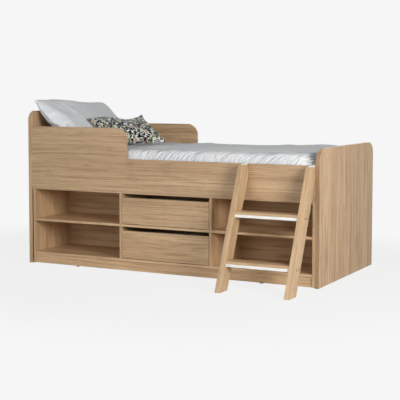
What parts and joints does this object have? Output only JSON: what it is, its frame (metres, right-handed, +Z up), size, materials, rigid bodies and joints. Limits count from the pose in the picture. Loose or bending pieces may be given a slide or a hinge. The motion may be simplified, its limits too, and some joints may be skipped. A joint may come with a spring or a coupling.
{
  "type": "low sleeper bed",
  "caption": "Low single bed on solid end panels, with open shelves and drawers under its slatted base, side guards at the head and a leaning ladder hooked on the front rail.",
  "frame": {"origin": "on the floor, under the middle of the whole outline in plan, ladder included", "axes": "+X along the bed from the head panel to the foot panel, +Y from the ladder side to the wall side, +Z up"},
  "size_m": [1.9612, 1.2964, 1.0281],
  "materials": {
    "oak_laminate": "satin wood-grain laminate, light oak",
    "drawer_board": "satin pale foil on thin board",
    "hardboard": "matt brown hardboard",
    "pine": "planed pine",
    "runner_steel": "cream powder coat",
    "roller_plastic": "smooth white",
    "nosing_plastic": "matt white",
    "hook_steel": "white coated",
    "bolt_steel": "zinc plated",
    "cover_plastic": "matt plastic, a little darker than the board",
    "glide_plastic": "dark plastic",
    "mattress_fabric": "quilted white ticking",
    "quilt_cotton": "crumpled white cotton",
    "pillow_cotton": "smooth white cotton",
    "cushion_print": "printed cotton, small leaves and flowers"
  },
  "bodies": {
    "root": {"head_end_panel": "oak_laminate", "foot_end_panel": "oak_laminate", "front_rail": "oak_laminate", "back_rail": "oak_laminate", "front_guard": "oak_laminate", "back_guard": "oak_laminate", "storage_base_board": "oak_laminate", "storage_top_board": "oak_laminate", "drawer_middle_board": "oak_laminate", "front_plinth": "oak_laminate", "back_plinth": "oak_laminate", "storage_side_head": "oak_laminate", "storage_side_foot": "oak_laminate", "divider_head": "oak_laminate", "divider_foot": "oak_laminate", "shelf_head": "oak_laminate", "shelf_foot": "oak_laminate", "storage_back_panel": "hardboard", "front_slat_ledge": "pine", "back_slat_ledge": "pine", "slats": "pine", "upper_fixed_runners": "runner_steel", "lower_fixed_runners": "runner_steel", "shelf_pins": "bolt_steel", "front_screw_covers": "cover_plastic", "head_screw_covers": "cover_plastic", "foot_screw_covers": "cover_plastic", "storage_glides": "glide_plastic"},
    "upper_drawer": {"upper_drawer_front": "oak_laminate", "upper_drawer_side_head": "drawer_board", "upper_drawer_side_foot": "drawer_board", "upper_drawer_back": "drawer_board", "upper_drawer_base": "hardboard", "upper_drawer_runners": "runner_steel"},
    "lower_drawer": {"lower_drawer_front": "oak_laminate", "lower_drawer_side_head": "drawer_board", "lower_drawer_side_foot": "drawer_board", "lower_drawer_back": "drawer_board", "lower_drawer_base": "hardboard", "lower_drawer_runners": "runner_steel"},
    "upper_front_rollers": {"upper_front_rollers": "roller_plastic"},
    "upper_rear_rollers": {"upper_rear_rollers": "roller_plastic"},
    "lower_front_rollers": {"lower_front_rollers": "roller_plastic"},
    "lower_rear_rollers": {"lower_rear_rollers": "roller_plastic"},
    "ladder": {"ladder_stile_head": "oak_laminate", "ladder_stile_foot": "oak_laminate", "upper_tread": "oak_laminate", "lower_tread": "oak_laminate", "upper_tread_nosing": "nosing_plastic", "lower_tread_nosing": "nosing_plastic", "ladder_hooks": "hook_steel", "tread_bolts": "bolt_steel"},
    "mattress": {"mattress": "mattress_fabric"},
    "quilt": {"quilt": "quilt_cotton"},
    "pillow": {"pillow": "pillow_cotton"},
    "cushion": {"patterned_cushion": "cushion_print"}
  },
  "joints": [
    {"name": "upper_drawer_slide", "type": "slide", "parent": "root", "child": "upper_drawer", "axis": [0, -1, 0], "range_m": [0, 0.26]},
    {"name": "upper_front_roller_spin", "type": "hinge", "parent": "root", "child": "upper_front_rollers", "pos_m": [0.005, -0.25982, 0.30875], "axis": [1, 0, 0], "continuous": true},
    {"name": "upper_rear_roller_spin", "type": "hinge", "parent": "upper_drawer", "child": "upper_rear_rollers", "pos_m": [0.005, 0.06618, 0.30875], "axis": [1, 0, 0], "continuous": true},
    {"name": "lower_drawer_slide", "type": "slide", "parent": "root", "child": "lower_drawer", "axis": [0, -1, 0], "range_m": [0, 0.26]},
    {"name": "lower_front_roller_spin", "type": "hinge", "parent": "root", "child": "lower_front_rollers", "pos_m": [0.005, -0.25982, 0.09875], "axis": [1, 0, 0], "continuous": true},
    {"name": "lower_rear_roller_spin", "type": "hinge", "parent": "lower_drawer", "child": "lower_rear_rollers", "pos_m": [0.005, 0.06618, 0.09875], "axis": [1, 0, 0], "continuous": true},
    {"name": "ladder_lift", "type": "slide", "parent": "root", "child": "ladder", "axis": [0, 0, 1], "range_m": [0, 0.06]},
    {"name": "mattress_lift", "type": "slide", "parent": "root", "child": "mattress", "axis": [0, 0, 1], "range_m": [0, 0.25]},
    {"name": "quilt_lift", "type": "slide", "parent": "mattress", "child": "quilt", "axis": [0, 0, 1], "range_m": [0, 0.12]},
    {"name": "pillow_lift", "type": "slide", "parent": "quilt", "child": "pillow", "axis": [0, 0, 1], "range_m": [0, 0.2]},
    {"name": "cushion_lift", "type": "slide", "parent": "pillow", "child": "cushion", "axis": [0, 0, 1], "range_m": [0, 0.2]}
  ],
  "couplings": [
    {"joint": "upper_front_roller_spin", "follows": "upper_drawer_slide", "rad_per_m": 117.65},
    {"joint": "upper_rear_roller_spin", "follows": "upper_drawer_slide", "rad_per_m": 117.65},
    {"joint": "lower_front_roller_spin", "follows": "lower_drawer_slide", "rad_per_m": 117.65},
    {"joint": "lower_rear_roller_spin", "follows": "lower_drawer_slide", "rad_per_m": 117.65}
  ]
}
